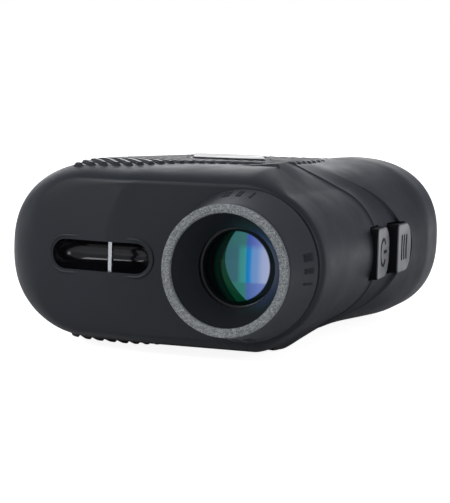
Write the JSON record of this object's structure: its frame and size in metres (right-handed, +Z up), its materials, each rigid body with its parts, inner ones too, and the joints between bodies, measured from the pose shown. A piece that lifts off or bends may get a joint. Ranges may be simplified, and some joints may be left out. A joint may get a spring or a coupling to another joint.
{
  "type": "laser rangefinder",
  "caption": "Hand-held laser rangefinder lying on its side, with a turning diopter eyepiece, press buttons on the crown, a strap slot and a screw cap over its battery.",
  "frame": {"origin": "centre of the bounding box in X and Y, on the plane it rests on", "axes": "+X from the base to the crown, +Y from the eyepiece to the target, +Z up, out of the left flank"},
  "size_m": [0.0798, 0.111, 0.0412],
  "materials": {
    "casing_plastic": "fine matte texture",
    "grip_rubber": "matte ribbed rubber",
    "pin_steel": "polished",
    "screw_steel": "dark oxide",
    "metal_black": "black anodised",
    "eyecup_rubber": "speckled grey rubber",
    "diopter_rubber": "fine matte rubber",
    "funnel_black": "satin black with steps",
    "lens_glass": "coated",
    "prism_glass": "polished",
    "display_glass": "liquid crystal cell",
    "inner_plastic": "moulded black",
    "seal_rubber": "smooth seal",
    "board_green": "solder mask",
    "chip_black": "moulded epoxy",
    "can_metal": "nickel plated",
    "brass_metal": "turned",
    "flex_film": "polyimide film",
    "button_plastic": "satin",
    "battery_skin": "printed sleeve",
    "contact_metal": "sprung plated strip"
  },
  "bodies": {
    "casing": {"main_casing": "casing_plastic", "front_bezel": "casing_plastic", "bezel_gasket": "seal_rubber", "bezel_screws": "screw_steel", "left_grip": "grip_rubber", "right_grip": "grip_rubber", "strap_bar": "pin_steel", "eyepiece_barrel": "metal_black", "barrel_nut": "metal_black", "reticle_holder": "inner_plastic", "reticle_display": "display_glass", "prism_holder": "inner_plastic", "rear_prism": "prism_glass", "roof_prism": "prism_glass", "objective_barrel": "metal_black", "objective_crown_lens": "lens_glass", "objective_flint_lens": "lens_glass", "objective_retainer": "metal_black", "receiver_barrel": "metal_black", "receiver_lens": "lens_glass", "receiver_retainer": "metal_black", "detector_board": "board_green", "detector": "can_metal", "laser_module": "brass_metal", "laser_lens": "lens_glass", "main_board": "board_green", "board_chips": "chip_black", "board_screws": "screw_steel", "switch_board": "board_green", "power_switch": "can_metal", "mode_switch": "can_metal", "flex_cable": "flex_film", "battery_tube": "inner_plastic", "battery": "battery_skin", "battery_contact": "contact_metal"},
    "diopter": {"diopter_ring": "diopter_rubber", "eyecup_rim": "eyecup_rubber", "eyecup_funnel": "funnel_black"},
    "eye_cell": {"lens_cell": "metal_black", "lens_retainer": "metal_black", "eye_lens": "lens_glass", "lens_spacer": "metal_black", "field_lens": "lens_glass", "field_lens_retainer": "metal_black", "cell_seal": "seal_rubber"},
    "power_key": {"power_button": "button_plastic"},
    "mode_key": {"mode_button": "button_plastic"},
    "cap_carrier": {"cap_contact": "contact_metal"},
    "cap": {"battery_cap": "casing_plastic", "cap_seal": "seal_rubber"}
  },
  "joints": [
    {"name": "diopter_turn", "type": "hinge", "parent": "casing", "child": "diopter", "pos_m": [0.02065, -0.04848, 0.0206], "axis": [0, 1, 0], "range_deg": [-60, 60]},
    {"name": "cell_travel", "type": "slide", "parent": "casing", "child": "eye_cell", "axis": [0, 1, 0], "range_m": [-0.0009, 0.0009]},
    {"name": "power_press", "type": "slide", "parent": "casing", "child": "power_key", "axis": [-1, 0, 0], "range_m": [0, 0.0005], "stiffness_N_per_m": 1500, "springref_m": -0.0005},
    {"name": "mode_press", "type": "slide", "parent": "casing", "child": "mode_key", "axis": [-1, 0, 0], "range_m": [0, 0.0005], "stiffness_N_per_m": 1500, "springref_m": -0.0005},
    {"name": "cap_lift", "type": "slide", "parent": "casing", "child": "cap_carrier", "axis": [-1, 0, 0], "range_m": [0, 0.003]},
    {"name": "cap_turn", "type": "hinge", "parent": "cap_carrier", "child": "cap", "pos_m": [-0.03435, -0.01248, 0.0206], "axis": [-1, 0, 0], "range_deg": [0, 1080]}
  ],
  "couplings": [
    {"joint": "cell_travel", "follows": "diopter_turn", "m_per_rad": 0.00085944},
    {"joint": "cap_lift", "follows": "cap_turn", "m_per_rad": 0.00015915}
  ]
}
